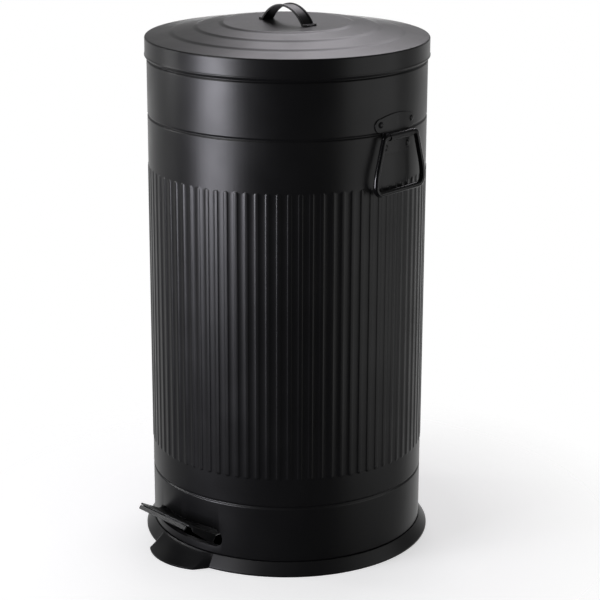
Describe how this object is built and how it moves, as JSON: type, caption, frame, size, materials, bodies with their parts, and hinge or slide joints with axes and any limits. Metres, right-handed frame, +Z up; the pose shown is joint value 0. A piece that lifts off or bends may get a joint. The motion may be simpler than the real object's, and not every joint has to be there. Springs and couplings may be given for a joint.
{
  "type": "pedal bin",
  "caption": "Round black steel pedal bin: ribbed body, stepped lid with a strap handle, front foot pedal, side drop handles and a lift-out inner bucket.",
  "frame": {"origin": "on the floor, at the axis of the round body", "axes": "+Z up, -Y towards the pedal at the front, +X to the right seen from the front's user"},
  "size_m": [0.3226, 0.3417, 0.59],
  "materials": {
    "body_paint": "satin black enamel on sheet steel",
    "trim_paint": "satin black enamel on pressed steel",
    "tread_paint": "satin black enamel, worn a little by shoes",
    "wire_paint": "glossier black enamel on wire",
    "base_plastic": "black moulded plastic with a fine grain",
    "bucket_plastic": "black moulded plastic",
    "bush_plastic": "natural plastic",
    "zinc_steel": "bright zinc plate",
    "bucket_wire": "zinc-plated wire",
    "bumper_rubber": "soft black rubber"
  },
  "bodies": {
    "body": {"body_shell": "body_paint", "body_floor": "zinc_steel", "base_ring": "base_plastic", "toe": "base_plastic", "toe_screws": "zinc_steel", "inner_bucket": "bucket_plastic", "bucket_bail": "bucket_wire", "pedal_bracket": "zinc_steel", "pedal_bracket_rivets": "zinc_steel", "pedal_pivot_pin": "zinc_steel", "pivot_clip": "zinc_steel", "rod_bush": "bush_plastic", "rod_guide": "zinc_steel", "rod_guide_rivets": "trim_paint", "hinge_bracket": "trim_paint", "hinge_bracket_rivets": "trim_paint", "hinge_pin": "zinc_steel", "handle_plate_right": "trim_paint", "handle_rivets_right": "trim_paint", "handle_plate_left": "trim_paint", "handle_rivets_left": "trim_paint"},
    "lid": {"lid_shell": "body_paint", "lid_handle": "trim_paint", "lid_hinge_leaf": "trim_paint", "lid_leaf_rivets": "trim_paint", "lid_crank": "zinc_steel", "lid_bumpers": "bumper_rubber"},
    "pedal": {"pedal_tread": "tread_paint", "pedal_lever": "zinc_steel", "tread_rivets": "zinc_steel"},
    "rod": {"push_rod": "zinc_steel", "rod_clips": "zinc_steel"},
    "handle_right": {"bail_right": "wire_paint"},
    "handle_left": {"bail_left": "wire_paint"}
  },
  "joints": [
    {"name": "lid_hinge", "type": "hinge", "parent": "body", "child": "lid", "pos_m": [0, 0.1575, 0.533], "axis": [-1, 0, 0], "range_deg": [0, 75]},
    {"name": "pedal_press", "type": "hinge", "parent": "body", "child": "pedal", "pos_m": [0, -0.09, 0.026], "axis": [1, 0, 0], "range_deg": [0, 10.55]},
    {"name": "rod_lift", "type": "slide", "parent": "body", "child": "rod", "axis": [0, 0, 1], "range_m": [0, 0.04041]},
    {"name": "handle_right_swing", "type": "hinge", "parent": "body", "child": "handle_right", "pos_m": [0.15365, 0.01886, 0.471], "axis": [0.1219, -0.9925, 0], "range_deg": [0, 160]},
    {"name": "handle_left_swing", "type": "hinge", "parent": "body", "child": "handle_left", "pos_m": [-0.15365, 0.01886, 0.471], "axis": [0.1219, 0.9925, 0], "range_deg": [0, 160]}
  ],
  "couplings": [
    {"joint": "pedal_press", "follows": "lid_hinge", "ratio": 0.14054},
    {"joint": "rod_lift", "follows": "lid_hinge", "m_per_rad": 0.030854}
  ]
}
